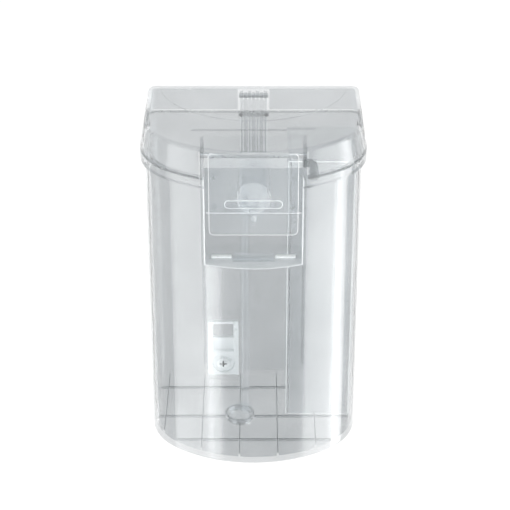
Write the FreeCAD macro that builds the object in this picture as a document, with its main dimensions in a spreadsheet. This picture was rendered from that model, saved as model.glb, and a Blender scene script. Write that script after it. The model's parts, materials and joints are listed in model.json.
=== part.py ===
import FreeCAD, Part
import math
import os
import Sketcher

# A wall mounted soap dispenser. The tank is D shaped in plan, flat against the
# wall and round at the front, under a lid on a comb hinge at the back. A push
# plate in a recess at the top of the front drives a horizontal pump inside.
#
# Frame: the wall is the plane Y = 0 and the dispenser stands out along -Y, X is
# to the right and Z is up. The origin is the middle of the four wall screws.

doc = FreeCAD.newDocument("soap_dispenser")
V = FreeCAD.Vector

# ---------------------------------------------------------------- dimensions
SIZES = {
    "over": 1,                 # how far a cutting block runs past the face it opens
    "run_gap": 0.05,           # radial running clearance of pins and bores
    "tank_half": 58,           # half the width of the tank
    "tank_depth": 89,          # from its back face to the middle of its front
    "tank_height": 176,        # from its underside to the top of its rim
    "front_radius": 72,        # plan: the bowed front
    "side_radius": 36,         # plan: where the front turns into the sides
    "back_radius": 4.5,        # plan: the two upright back edges
    "tank_wall": 2.5,
    "tank_floor": 3,
    "tank_edge_radius": 1.5,   # the outer edge of the underside
    "rim_out": 2.6,            # how far the rim stands out from the tank
    "rim_height": 4.8,
    "back_gap": 3,             # wall to the back of the tank
    "lid_height": 16.6,          # rim to the top of the lid
    "lid_wall": 2,
    "lid_slope": 2.6,          # how far the lid's side leans in
    "lid_gap": 1.3,            # rim to the lower edge of the lid, over the gasket
    "lid_lift": 0.9,           # extra clearance under the lid's back edge
    "lid_edge_radius": 2.2,
    "lid_notch_gap": 0.8,      # lid to the sides of the recess
    "lid_rib_x": 35,           # two ribs inside the lid's back wall
    "lid_rib_thick": 1,
    "lid_rib_depth": 1.5,
    "join": 0.2,               # how deep a rib or leaf is sunk in what it grows from
    "dish_radius": 52,         # half round dish in the top of the lid
    "dish_depth": 0.6,
    "gasket_height": 1,
    "gasket_width": 1.8,
    "gasket_inset": 0.2,       # rim's edge to the gasket's edge
    "gasket_gap": 0.6,         # recess to the ends of the gasket
    "recess_half": 25.5,       # half the width of the front recess
    "recess_depth": 15,        # middle of the tank's front to the back of the recess
    "recess_height": 51,       # rim to the ledge under the recess
    "recess_wall": 2,
    "cheek_gap": 1,            # lid's underside to the recess sides
    "plate_gap": 2,            # recess side to the push plate
    "plate_thick": 2,
    "plate_inset": 4.4,        # middle of the tank's front to the face of the plate
    "finger_height": 17.5,       # ledge to the lower edge of the plate
    "plate_lid_gap": 0.7,      # lid's underside to the top edge of the plate
    "plate_corner": 3,
    "plate_face_round": 0.6,
    "pivot_drop": 2.9,         # top edge of the plate to its pivot
    "pivot_in": 4.2,           # face of the plate to its pivot
    "plate_pin_radius": 1.25,
    "lug_wall": 0.85,
    "lug_thick": 3,
    "plate_rib_depth": 1.5,
    "plate_rib_thick": 1.2,
    "plate_rib_pitch": 11.5,
    "plate_rib_low": 5,        # lower edge of the plate to its ribs
    "plate_rib_short": 3,      # lugs to the upper ends of its ribs
    "pump_drop": 17,           # rim to the pump's axis
    "bore_radius": 8,
    "barrel_wall": 1.5,
    "barrel_length": 35,
    "end_wall": 2.5,
    "flange_out": 3,
    "flange_thick": 2,
    "cap_thick": 3,
    "stem_radius": 3,
    "stem_sink": 0.5,          # how deep the stem is sunk in the crosshead bar
    "piston_rest": 0.4,        # cap to the piston at rest
    "piston_gap": 0.1,
    "piston_thick": 5,
    "seal_start": 1.4,         # front of the piston to its groove
    "seal_width": 2.2,
    "seal_gap": 0.1,           # groove's sides to the seal
    "seal_section": 1,
    "bar_in": 8.1,             # plate's side to the end of the crosshead bar
    "bar_height": 5,
    "bar_thick": 2.2,
    "bar_gap": 0.2,
    "carrier_thick": 1.6,
    "carrier_below": 8,        # pump's axis to the lower edge of the carrier
    "carrier_above": 17,       # pump's axis to its upper edge
    "carrier_gap": 0.2,
    "carrier_slot_gap": 1.2,
    "carrier_screw": 1,
    "carrier_screw_head": 2.1,
    "carrier_screw_side": 4.7,
    "carrier_screw_low": 3.5,
    "carrier_screw_high": 4,
    "carrier_screw_tail": 0.5, # recess wall left behind the screws
    "spring_wire": 0.5,
    "spring_side": 2.4,        # bore to the middle of the spring's wire
    "spring_turns": 7,
    "spring_rest": 0.05,
    "tube_x": -4.8,            # dip tube
    "tube_in": 27,             # back of the recess to the dip tube
    "tube_radius": 2.5,
    "tube_wall": 0.8,
    "tube_foot": 4,            # floor to the lower end of the tube
    "tube_seat": 5,            # how far the tube goes up into the pump
    "inlet_wall": 1.7,
    "inlet_reach": 13,         # pump's bore to the lower end of the inlet
    "inlet_port": 1.5,
    "ball_cage": 7.5,          # height of the room over the end of the tube
    "ball_over": 0.7,          # inlet ball beyond the tube's bore
    "nozzle_half": 4,
    "nozzle_drop": 4,          # pump's bore to the nozzle's axis
    "nozzle_length": 2.6,      # nozzle's axis to its lower end
    "nozzle_thick": 1.8,
    "nozzle_bore": 0.9,
    "nozzle_mouth": 0.7,
    "spigot_length": 11,
    "outlet_below": 3.2,       # nozzle's axis to the underside of the outlet boss
    "outlet_length": 22,
    "outlet_ball_radius": 1.7,
    "channel_gap": 0.4,
    "valve_seat_in": 0.7,      # how much smaller than its ball the seat is
    "valve_seat_depth": 17.5,  # back of the recess to the outlet valve's seat
    "outlet_port_depth": 21,
    "port_over": 0.2,
    "ball_rest": 0.02,
    "rib_height": 2,           # ribs on the floor of the tank
    "rib_thick": 1.2,
    "rib_pitch": 21.5,
    "rib_back": 20,
    "rib_front_in": 17.5,      # middle of the tank's front to the front rib
    "sump_off": 3.2,           # round boss on the floor where the ribs cross
    "sump_forward": 0.6,
    "sump_radius": 8.5,
    "sump_wall": 1.5,
    "sump_height": 4,
    "strainer_gap": 0.3,
    "strainer_wall": 1,
    "strainer_height": 7,
    "strainer_roof": 1.2,
    "collar_wall": 1.2,
    "collar_height": 3,
    "slot_pitch": 2.6,
    "slot_width": 1,
    "slot_height": 2.4,
    "chamber_left": 18.5,      # side chamber in the back right corner
    "chamber_front": 46,
    "chamber_wall": 2,
    "chamber_drop": 10,        # rim to the top of the chamber
    "chamber_cap": 2,
    "cap_inset": 0.2,
    "frame_x": -18.2,          # fixing frame low on the back wall
    "frame_side": 2.6,         # washer to the frame's side
    "frame_bottom": 5.8,
    "frame_top": 42.8,
    "frame_thick": 2.4,
    "frame_skin": 0.4,
    "window_in": 3.1,          # frame's side to its window
    "window_bottom": 31.9,
    "window_top": 41.3,
    "pocket_edge": 1.6,
    "fixing_height": 14,
    "fixing_gap": 0.2,
    "fixing_tail": 2.4,        # how far the screw goes into the wall plate
    "washer_radius": 6.6,
    "washer_thick": 1.5,
    "screw_radius": 2,
    "head_out": 1.8,
    "screw_head_thick": 2,
    "key_width": 0.8,
    "key_reach": 1.1,
    "wall_plate_half": 30,
    "wall_plate_bottom": 6,
    "wall_plate_drop": 16,     # rim to the top of the wall plate
    "dovetail": 2,
    "rail_width": 5,
    "rail_low": 4,             # lower edge of the plate to the rails
    "rail_gap": 0.15,
    "wall_screw_side": 10,     # plate's side to its wall screws
    "wall_screw_low": 34,
    "wall_screw_high": 10,
    "wall_hole": 2.5,
    "hinge_in": 4,             # back of the tank to the lid's hinge axis
    "hinge_drop": 3.2,         # lid's underside to the axis
    "hinge_pitch": 2.2,
    "knuckle_gap": 0.3,
    "knuckle_wall": 1.5,
    "hinge_pin_radius": 1.2,
    "hinge_pin_out": 0.6,
    "hinge_reach": 23,         # rim to the lower end of the hinge bracket
    "hinge_base": 1.6,
    "hinge_neck": 0.5,
    "clamp_out": 0.85,
    "clamp_height": 2.4,
    "clamp_rise": 0.6,
    "rivet_radius": 1.1,
    "rivet_high": 1,
    "rivet_in": 1.4,
    "vent_forward": 0.5,       # vent elbow on the right side of the recess
    "vent_rise": 4,
    "vent_radius": 2.2,
    "vent_bore": 1.2,
    "vent_reach": 4,
    "vent_drop": 9,
    "vent_lip": 0.4,
    "vent_lip_height": 1.6,
    "tray_half": 11,           # drip tray in the ledge
    "tray_depth": 6.5,
    "tray_height": 1.8,
    "tray_wall": 0.8,
    "tray_gap": 0.3,
    "pad_gap": 0.6,            # tray to the pads beside it
    "pad_side": 3,             # recess side to the pads
    "pad_depth": 3,
    "pad_height": 1,
}

# Sizes and places that follow from the ones above. Heights are above the
# underside of the tank, and depths are from the wall.
DERIVED = {
    "tank_front": "back_gap + tank_depth",
    "inside": "back_gap + tank_wall",
    "lid_top": "tank_height + lid_height",
    "lid_under": "lid_top - lid_wall",
    "recess_back": "tank_front - recess_depth",
    "recess_floor": "tank_height - recess_height",
    "cheek_top": "lid_under - cheek_gap",
    "plate_half": "recess_half - plate_gap",
    "plate_front": "tank_front - plate_inset",
    "plate_back": "plate_front - plate_thick",
    "plate_bottom": "recess_floor + finger_height",
    "plate_top": "lid_under - plate_lid_gap",
    "pivot_height": "plate_top - pivot_drop",
    "pivot_depth": "plate_front - pivot_in",
    "lug_radius": "plate_pin_radius + lug_wall",
    "pump_height": "tank_height - pump_drop",
    "barrel_radius": "bore_radius + barrel_wall",
    "barrel_back": "recess_back - barrel_length",
    "flange_radius": "barrel_radius + flange_out",
    "piston_front": "recess_back - cap_thick - piston_rest",
    "piston_radius": "bore_radius - piston_gap",
    "bar_half": "plate_half - bar_in",
    "bar_front": "plate_back - plate_rib_depth - bar_gap",
    "bar_back": "bar_front - bar_thick",
    "carrier_front": "recess_back + carrier_thick",
    "carrier_half": "recess_half - carrier_gap",
    "carrier_bottom": "pump_height - carrier_below",
    "carrier_top": "pump_height + carrier_above",
    "spring_radius": "bore_radius - spring_side",
    "tube_y": "recess_back - tube_in",
    "tube_bore": "tube_radius - tube_wall",
    "inlet_radius": "tube_radius + inlet_wall",
    "inlet_bottom": "pump_height - bore_radius - inlet_reach",
    "tube_top": "inlet_bottom + tube_seat",
    "ball_radius": "tube_bore + ball_over",
    "nozzle_height": "pump_height - bore_radius - nozzle_drop",
    "nozzle_bottom": "nozzle_height - nozzle_length",
    "channel_radius": "outlet_ball_radius + channel_gap",
    "valve_seat": "outlet_ball_radius - valve_seat_in",
    "seat_y": "recess_back - valve_seat_depth",
    "outlet_port_y": "recess_back - outlet_port_depth",
    "rib_front": "tank_front - rib_front_in",
    "sump_x": "tube_x - sump_off",
    "sump_y": "tube_y + sump_forward",
    "strainer_radius": "sump_radius - sump_wall - strainer_gap",
    "chamber_top": "tank_height - chamber_drop",
    "frame_half": "washer_radius + frame_side",
    "frame_front": "inside + frame_thick",
    "window_half": "frame_half - window_in",
    "screw_head": "screw_radius + head_out",
    "wall_plate_top": "tank_height - wall_plate_drop",
    "mount_height": "(wall_plate_bottom + wall_screw_low + wall_plate_top - wall_screw_high) / 2",
    "wall_screw_x": "wall_plate_half - wall_screw_side",
    "wall_screw_z": "(wall_plate_top - wall_screw_high - wall_plate_bottom - wall_screw_low) / 2",
    "hinge_y": "back_gap + hinge_in",
    "hinge_height": "lid_under - hinge_drop",
    "hinge_bottom": "tank_height - hinge_reach",
    "knuckle_thick": "hinge_pitch - knuckle_gap",
    "knuckle_radius": "hinge_pin_radius + knuckle_wall",
    "bracket_half": "3 * hinge_pitch + knuckle_thick / 2",
    "bracket_neck": "hinge_height - knuckle_radius - hinge_neck",
    "clamp_half": "bracket_half + clamp_out",
    "clamp_z": "tank_height + clamp_rise",
    "clamp_back": "hinge_y + knuckle_radius",
    "vent_y": "recess_back + vent_forward",
    "vent_height": "tank_height + vent_rise",
    "vent_corner": "recess_half + recess_wall + vent_reach",
}
NAMES = {**SIZES, **DERIVED}

sheet = doc.addObject("Spreadsheet::Sheet", "Sheet")
for row, (alias, value) in enumerate(NAMES.items(), start=1):
    sheet.set(f"A{row}", alias)
    sheet.set(f"B{row}", f"={value}" if alias in DERIVED else str(value))
    sheet.setAlias(f"B{row}", alias)
doc.recompute()


def size(alias):
    return float(getattr(sheet, alias))


def cell(text):
    """Turn plain names in an expression into references to the sheet."""
    words, word = [], ""
    for letter in text + " ":
        if letter.isalnum() or letter == "_":
            word += letter
            continue
        words.append("Sheet." + word if word in NAMES else word)
        words.append(letter)
        word = ""
    return "".join(words).strip()


def bind(thing, prop, text):
    thing.setExpression(prop, cell(str(text)))


def place(thing, x, y, z):
    """Bind a place: x, depth from the wall and height above the underside."""
    bind(thing, "Placement.Base.x", x)
    bind(thing, "Placement.Base.y", f"-({y})")
    bind(thing, "Placement.Base.z", f"({z}) - mount_height")


# ----------------------------------------------------------------- builders
def box(name, x, y, z, wide, deep, high):
    """A block: x of its left side, depth of its front, height of its base."""
    block = doc.addObject("Part::Box", name)
    bind(block, "Length", wide)
    bind(block, "Width", deep)
    bind(block, "Height", high)
    place(block, x, y, z)
    return block


def rod(name, axis, x, y, z, radius, length):
    """A cylinder that runs from x, y, z along +X, +Y or +Z."""
    bar = doc.addObject("Part::Cylinder", name)
    bind(bar, "Radius", radius)
    bind(bar, "Height", length)
    turns = {"x": (V(0, 1, 0), 90), "y": (V(1, 0, 0), -90), "z": (V(0, 0, 1), 0)}
    bar.Placement.Rotation = FreeCAD.Rotation(*turns[axis])
    place(bar, x, y, z)
    return bar


def ball(name, x, y, z, radius):
    sphere = doc.addObject("Part::Sphere", name)
    bind(sphere, "Radius", radius)
    place(sphere, x, y, z)
    return sphere


def cut(name, base, *tools):
    """Take the tools away from the base one after the other."""
    for step, tool in enumerate(tools, start=1):
        result = doc.addObject("Part::Cut", f"{name}_{step}")
        result.Base, result.Tool = base, tool
        base = result
    return base


def fuse(name, *shapes):
    result = doc.addObject("Part::MultiFuse", name)
    result.Shapes = list(shapes)
    return result


def common(name, first, second):
    result = doc.addObject("Part::Common", name)
    result.Base, result.Tool = first, second
    return result


def d_sketch(name, inset, z, back="back_gap"):
    """The D outline, moved in by inset all round, as a sketch at height z.

    Its front, corners and sides are tangent arcs and lines. Its straight back is
    at the depth back, which doesn't move with the inset unless back says so.
    """
    sketch = doc.addObject("Sketcher::SketchObject", name)
    bind(sketch, "Placement.Base.z", f"({z}) - mount_height")
    half, depth = size("tank_half"), size("tank_front")
    front, side, rear = size("front_radius"), size("side_radius"), size("back_radius")
    back_y = -size("back_gap")
    across, centre_y = half - side, front - depth
    down = math.sqrt((front - side) ** 2 - across ** 2)
    side_y = centre_y - down
    meet = math.atan2(-down, across) + 2 * math.pi

    def arc(x, y, radius, start, end):
        circle = Part.Circle(V(x, y, 0), V(0, 0, 1), radius)
        return Part.ArcOfCircle(circle, start, end)

    sketch.addGeometry([
        Part.LineSegment(V(half - rear, back_y, 0), V(rear - half, back_y, 0)),
        arc(rear - half, back_y - rear, rear, math.pi / 2, math.pi),
        Part.LineSegment(V(-half, back_y - rear, 0), V(-half, side_y, 0)),
        arc(-across, side_y, side, math.pi, 3 * math.pi - meet),
        arc(0, centre_y, front, 3 * math.pi - meet, meet),
        arc(across, side_y, side, meet, 2 * math.pi),
        Part.LineSegment(V(half, side_y, 0), V(half, back_y - rear, 0)),
        arc(half - rear, back_y - rear, rear, 0, math.pi / 2),
    ], False)
    rule = Sketcher.Constraint
    for edge in range(8):
        sketch.addConstraint(rule("Tangent", edge, 2, (edge + 1) % 8, 1))
    sketch.addConstraint(rule("Horizontal", 0))
    sketch.addConstraint(rule("Vertical", 2))
    sketch.addConstraint(rule("Vertical", 6))
    sketch.addConstraint(rule("PointOnObject", 4, 3, -2))
    sketch.addConstraint(rule("Equal", 1, 7))
    sketch.addConstraint(rule("Equal", 3, 5))
    driven = [
        (rule("DistanceY", 0, 1, -1, 1, size("back_gap")), back),
        (rule("DistanceX", 2, 1, -1, 1, half), f"tank_half - ({inset})"),
        (rule("DistanceX", -1, 1, 6, 1, half), f"tank_half - ({inset})"),
        (rule("Radius", 1, rear), f"back_radius - ({inset})"),
        (rule("Radius", 3, side), f"side_radius - ({inset})"),
        (rule("Radius", 4, front), f"front_radius - ({inset})"),
        (rule("DistanceY", 4, 3, -1, 1, depth - front), "tank_front - front_radius"),
    ]
    for constraint, text in driven:
        index = sketch.addConstraint(constraint)
        bind(sketch, f"Constraints[{index}]", text)
    return sketch


def d_prism(name, inset, z, high, back="back_gap"):
    """An upright D shaped block from height z."""
    solid = doc.addObject("Part::Extrusion", name)
    solid.Base = d_sketch(name + "_outline", inset, z, back)
    solid.DirMode = "Custom"
    solid.Dir = V(0, 0, 1)
    solid.Solid = True
    bind(solid, "LengthFwd", high)
    return solid


def rounded(name, block, level, radius):
    """Round the edges of a block that lie in its plane at height level."""
    doc.recompute()
    result = doc.addObject("Part::Fillet", name)
    result.Base = block
    result.Edges = [(n, size(radius), size(radius))
                    for n, edge in enumerate(block.Shape.Edges, start=1)
                    if abs(edge.BoundBox.ZMin - level) < LEVEL and edge.BoundBox.ZLength < LEVEL]
    return result


def d_loft(name, low, low_z, high, high_z, back="back_gap"):
    """A D shaped block with leaning sides between two outlines."""
    solid = doc.addObject("Part::Loft", name)
    solid.Sections = [
        d_sketch(name + "_low", low, low_z, back),
        d_sketch(name + "_high", high, high_z, back),
    ]
    solid.Solid = True
    solid.Ruled = True
    return solid


def pill(name, half, high, y, deep, z):
    """A block along X with half round ends, like a slot or a flat bar."""
    radius = f"({high}) / 2"
    middle = box(name + "_middle", f"{radius} - ({half})", y, f"({z}) - {radius}",
                 f"2 * ({half}) - ({high})", deep, high)
    ends = [rod(f"{name}_end_{n}", "y", f"{sign} * (({half}) - {radius})", y, z, radius, deep)
            for n, sign in enumerate((-1, 1))]
    return fuse(name, middle, *ends)


def turned(name, points, y, z):
    """A PartDesign body turned about an axis along +Y through x = 0.

    Each point is a pair of expressions, the distance along the axis and the radius.
    """
    body = doc.addObject("PartDesign::Body", name)
    plane = next(f for f in body.Origin.OriginFeatures if f.Role == "XY_Plane")
    sketch = body.newObject("Sketcher::SketchObject", name + "_profile")
    sketch.AttachmentSupport = (plane, [""])
    sketch.MapMode = "FlatFace"
    count = len(points)
    spots = [V(evaluate(radius), evaluate(along), 0) for along, radius in points]
    sketch.addGeometry([Part.LineSegment(spots[n], spots[(n + 1) % count])
                        for n in range(count)], False)
    rule = Sketcher.Constraint
    for edge in range(count):
        sketch.addConstraint(rule("Coincident", edge, 2, (edge + 1) % count, 1))
    for edge, (along, radius) in enumerate(points):
        index = sketch.addConstraint(rule("DistanceY", -1, 1, edge, 1, spots[edge].y))
        bind(sketch, f"Constraints[{index}]", along)
        if evaluate(radius) == 0:
            sketch.addConstraint(rule("PointOnObject", edge, 1, -2))
            continue
        index = sketch.addConstraint(rule("DistanceX", -1, 1, edge, 1, spots[edge].x))
        bind(sketch, f"Constraints[{index}]", radius)
    doc.recompute()
    turn = body.newObject("PartDesign::Revolution", name + "_turn")
    turn.Profile = sketch
    turn.ReferenceAxis = (sketch, ["V_Axis"])
    turn.Angle = 360
    place(body, 0, y, z)
    return body


def evaluate(text):
    """The value of a sum of sheet sizes and numbers."""
    return float(sheet.evalExpression(cell(str(text)).replace("Sheet.", "")))


NODES = []
LEVEL = 0.01    # edges nearer to a plane than this lie in it


def node(name, thing):
    thing.Label = name
    NODES.append(thing)
    return thing


# ------------------------------------------------------------ wall plate
def dovetail_block(name, gap, low, high):
    """The plate's outline: wide at the tank, narrower at the wall."""
    block = doc.addObject("Part::Wedge", name)
    half = f"wall_plate_half + ({gap})"
    bind(block, "Xmin", f"-({half})")
    bind(block, "Xmax", half)
    bind(block, "X2min", f"dovetail - ({half})")
    bind(block, "X2max", f"{half} - dovetail")
    block.Ymin = block.Zmin = block.Z2min = 0
    bind(block, "Ymax", "back_gap")
    bind(block, "Zmax", f"({high}) - ({low})")
    bind(block, "Z2max", f"({high}) - ({low})")
    place(block, 0, "back_gap", low)
    return block


def wall_plate():
    blank = dovetail_block("plate_blank", 0, "wall_plate_bottom", "wall_plate_top")
    through = "back_gap + 2 * over"
    holes = [rod(f"wall_hole_{x}_{z}", "y", f"{x} * wall_screw_x", "back_gap + over",
                 f"mount_height + {z} * wall_screw_z", "wall_hole", through)
             for x in (-1, 1) for z in (-1, 1)]
    thread = rod("fixing_thread", "y", "frame_x", "back_gap + over", "fixing_height",
                 "screw_radius + run_gap", through)
    return cut("wall_plate_cut", blank, *holes, thread)


# ------------------------------------------------------------------ tank
def recess_block(name, inset):
    """The recess with its walls, or without them where inset is 0."""
    half = f"(recess_half + ({inset}))"
    return box(name, f"-{half}", "tank_front + rim_out + over",
               f"recess_floor - ({inset})", f"2 * {half}",
               f"recess_depth + rim_out + over + ({inset})",
               f"cheek_top - recess_floor + over + ({inset})")


def floor_ribs():
    """The grid of low ribs on the tank's floor, open where the sump and chamber are."""
    base, high = "tank_floor", "rib_height"
    ribs = [box(f"rib_along_{n}", f"sump_x + {n} * rib_pitch - rib_thick / 2",
                "tank_front", base, "rib_thick", "tank_depth", high)
            for n in (-2, -1, 0, 1, 2)]
    ribs += [box(f"rib_across_{y}", "-tank_half", f"{y} + rib_thick / 2", base,
                 "2 * tank_half", "rib_thick", high)
             for y in ("rib_back", "sump_y", "rib_front")]
    ring = rod("sump_ring", "z", "sump_x", "sump_y", base, "sump_radius", "sump_height")
    bowl = rod("sump_bowl", "z", "sump_x", "sump_y", base, "sump_radius - sump_wall",
                "sump_height + over")
    corner = box("rib_stop", "chamber_left", "chamber_front", base, "tank_half",
                 "chamber_front", "rib_height + over")
    grid = cut("rib_grid", fuse("rib_all", *ribs, ring), bowl, corner)
    return common("rib_trim", grid, d_prism("rib_limit", "tank_wall", base, "sump_height", "inside"))


def rails():
    """Dovetail rails on the tank's back, closed at the top so it hangs on the plate."""
    half = "(wall_plate_half + rail_width)"
    block = box("rail_block", f"-{half}", "back_gap", "wall_plate_bottom + rail_low",
                f"2 * {half}", "back_gap - rail_gap", "wall_plate_top - wall_plate_bottom")
    slot = dovetail_block("rail_slot", "rail_gap", "wall_plate_bottom - over",
                          "wall_plate_top + rail_gap")
    return cut("rails", block, slot)


def tank():
    block = d_prism("tank_outer", 0, 0, "tank_height")
    outer = rounded("tank_rounded", block, -size("mount_height"), "tank_edge_radius")
    rim = d_prism("tank_rim", "-rim_out", "tank_height - rim_height", "rim_height")
    hollow = d_prism("tank_hollow", "tank_wall", "tank_floor", "tank_height", "inside")
    inside = cut("tank_inside", hollow, recess_block("recess_keep", "recess_wall"))
    shell = cut("tank_shell", fuse("tank_solid", outer, rim), inside)
    cheek_stock = d_prism("cheek_stock", 0, "recess_floor", "cheek_top - recess_floor")
    sides = [box(f"cheek_{n}", x, "tank_front", "recess_floor", "recess_wall",
                 "recess_depth + recess_wall", "cheek_top - recess_floor")
             for n, x in enumerate(("recess_half", "-recess_half - recess_wall"))]
    cheeks = common("cheeks", fuse("cheek_pair", *sides), cheek_stock)
    whole = fuse("tank_whole", shell, cheeks, floor_ribs(), rails())
    through = "recess_wall + 2 * over"
    holes = [
        recess_block("recess_hollow", 0),
        rod("barrel_hole", "y", 0, "recess_back + over", "pump_height",
            "barrel_radius + run_gap", through),
        rod("nozzle_hole", "y", 0, "recess_back + over", "nozzle_height",
            "channel_radius", through),
        rod("fixing_hole", "y", "frame_x", "inside + over", "fixing_height",
            "screw_radius + fixing_gap", "tank_wall + 2 * over"),
        rod("pivot_hole", "x", "-recess_half - recess_wall - over", "pivot_depth",
            "pivot_height", "plate_pin_radius + run_gap",
            "2 * (recess_half + recess_wall + over)"),
        rod("vent_hole", "x", "recess_half - over", "vent_y", "vent_height",
            "vent_radius", through),
    ]
    for number, (x, z) in enumerate(CARRIER_SCREWS, start=1):
        holes.append(rod(f"carrier_hole_{number}", "y", x, "recess_back + over", z,
                         "carrier_screw + run_gap",
                         "recess_wall + over - carrier_screw_tail + fixing_gap"))
    return cut("tank_cut", whole, *holes)


# ---------------------------------------------------------- side chamber
def chamber_space(name, gap, z, high):
    """The back right corner of the tank, which the chamber's walls close off."""
    corner = box(name + "_corner", f"chamber_left + ({gap})", f"chamber_front - ({gap})", z,
                 "tank_half", "chamber_front", high)
    return common(name, d_prism(name + "_limit", "tank_wall", z, high, "inside"), corner)


def side_chamber():
    high = "chamber_top - tank_floor"
    block = chamber_space("chamber_block", 0, "tank_floor", high)
    core = box("chamber_core", "chamber_left + chamber_wall", "chamber_front - chamber_wall",
               "tank_floor - over", "tank_half", "chamber_front", high + " + 2 * over")
    return cut("side_chamber_cut", block, core)


# ---------------------------------------------------- fixing low on the back
def fixing_frame():
    open_face = "frame_front + over"
    plate = box("frame_stock", "frame_x - frame_half", "frame_front", "frame_bottom",
                "2 * frame_half", "frame_thick", "frame_top - frame_bottom")
    window = box("frame_window", "frame_x - window_half", open_face, "window_bottom",
                 "2 * window_half", "frame_thick + 2 * over", "window_top - window_bottom")
    seat = rod("frame_seat", "y", "frame_x", open_face, "fixing_height",
               "washer_radius + run_gap", "frame_thick + 2 * over")
    pocket = box("frame_pocket", "frame_x - window_half", open_face,
                 "fixing_height + washer_radius + pocket_edge", "2 * window_half",
                 "frame_thick + over - frame_skin",
                 "window_bottom - fixing_height - washer_radius - 2 * pocket_edge")
    return cut("fixing_frame_cut", plate, window, seat, pocket)


def fixing_washer():
    face = "inside + washer_thick"
    disc = rod("washer_disc", "y", "frame_x", face, "fixing_height", "washer_radius",
               "washer_thick")
    hole = rod("washer_hole", "y", "frame_x", face + " + over", "fixing_height",
               "screw_radius + run_gap", "washer_thick + 2 * over")
    return cut("fixing_washer_cut", disc, hole)


def pan_screw(name, x, face, z, radius, head, head_thick, length):
    """A screw along +Y with its pan head standing on the depth face."""
    shank = rod(name + "_shank", "y", x, face, z, radius, length)
    cap = rod(name + "_head", "y", x, f"({face}) + ({head_thick})", z, head, head_thick)
    key = [box(f"{name}_key_{n}", f"({x}) - ({wide}) / 2", f"({face}) + ({head_thick})",
               f"({z}) - ({high}) / 2", wide, f"({head_thick}) / 2", high)
           for n, (wide, high) in enumerate(((f"({head}) * key_reach", "key_width"),
                                             ("key_width", f"({head}) * key_reach")))]
    return cut(name + "_cut", fuse(name + "_blank", shank, cap), *key)


# ----------------------------------------------------------------- gasket
def gasket():
    outer = d_prism("gasket_outer", "gasket_inset - rim_out", "tank_height",
                    "gasket_height", "back_gap + gasket_inset")
    inner = d_prism("gasket_inner", "gasket_inset + gasket_width - rim_out",
                    "tank_height - over", "gasket_height + 2 * over",
                    "back_gap + gasket_inset + gasket_width")
    end = "(recess_half + recess_wall + gasket_gap)"
    opening = box("gasket_opening", f"-{end}", "tank_front + rim_out + over",
                  "tank_height - over", f"2 * {end}", "tank_depth / 2",
                  "gasket_height + 2 * over")
    return cut("gasket_cut", outer, inner, opening)


# ------------------------------------------------------------------ hinge
def knuckle(name, column, base, top):
    """A leaf of the comb hinge: a plate from base to top with a round boss."""
    x = f"({column}) * hinge_pitch - knuckle_thick / 2"
    leaf = box(name + "_leaf", x, "hinge_y + knuckle_radius", base, "knuckle_thick",
               "2 * knuckle_radius", f"({top}) - ({base})")
    boss = rod(name + "_boss", "x", x, "hinge_y", "hinge_height", "knuckle_radius",
               "knuckle_thick")
    return fuse(name, leaf, boss)


def hinge_bore(name):
    return rod(name, "x", "-4 * hinge_pitch", "hinge_y", "hinge_height",
               "hinge_pin_radius + run_gap", "8 * hinge_pitch")


def hinge_bracket():
    base = box("hinge_plate", "-bracket_half", "inside + hinge_base", "hinge_bottom",
               "2 * bracket_half", "hinge_base", "bracket_neck - hinge_bottom")
    pieces = [base]
    for column in (-3, -1, 1, 3):
        pieces.append(knuckle(f"bracket_leaf_{column}", column,
                              "bracket_neck - hinge_neck", "hinge_height"))
        pieces.append(box(f"bracket_rib_{column}",
                          f"({column}) * hinge_pitch - knuckle_thick / 2",
                          "hinge_y + knuckle_radius", "hinge_bottom", "knuckle_thick",
                          "hinge_y + knuckle_radius - inside", "bracket_neck - hinge_bottom"))
    return cut("hinge_bracket_cut", fuse("hinge_bracket_solid", *pieces),
               hinge_bore("bracket_bore"))


def hinge_clamp():
    return box("hinge_clamp_bar", "-clamp_half", "clamp_back + hinge_base", "clamp_z",
               "2 * clamp_half", "hinge_base", "clamp_height")


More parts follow.
